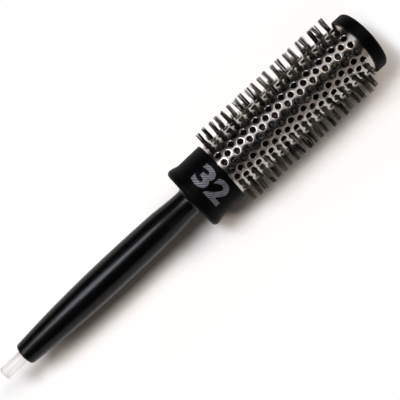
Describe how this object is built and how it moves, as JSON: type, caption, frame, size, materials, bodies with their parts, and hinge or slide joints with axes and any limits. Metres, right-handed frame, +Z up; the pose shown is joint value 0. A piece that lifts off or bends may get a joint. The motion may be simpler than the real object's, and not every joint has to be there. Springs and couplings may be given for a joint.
{
  "type": "round barrel brush",
  "caption": "Round hair brush with a perforated metal barrel, straight strips of bristle through its holes, a tapered handle and a clear pull-out sectioning pick in the tail.",
  "frame": {"origin": "on the surface that the brush rests on, under the middle of its length", "axes": "+X along the brush from the pick in its tail to its end cap, +Z up, away from the surface it rests on"},
  "size_m": [0.2594, 0.0458, 0.0451],
  "materials": {
    "black_plastic": "gloss",
    "clear_plastic": "gloss",
    "barrel_aluminium": "polished",
    "core_plastic": "matte",
    "bristle_nylon": "satin"
  },
  "bodies": {
    "brush": {"handle": "black_plastic", "collar": "black_plastic", "barrel": "barrel_aluminium", "core": "core_plastic", "end_cap": "black_plastic", "bristle_strip_1": "bristle_nylon", "bristle_strip_2": "bristle_nylon", "bristle_strip_3": "bristle_nylon", "bristle_strip_4": "bristle_nylon", "bristle_strip_5": "bristle_nylon", "bristle_strip_6": "bristle_nylon", "bristle_strip_7": "bristle_nylon", "bristle_strip_8": "bristle_nylon"},
    "pick": {"sectioning_pick": "clear_plastic"}
  },
  "joints": [
    {"name": "pick_slide", "type": "slide", "parent": "brush", "child": "pick", "axis": [-1, 0, 0], "range_m": [0, 0.066]}
  ]
}
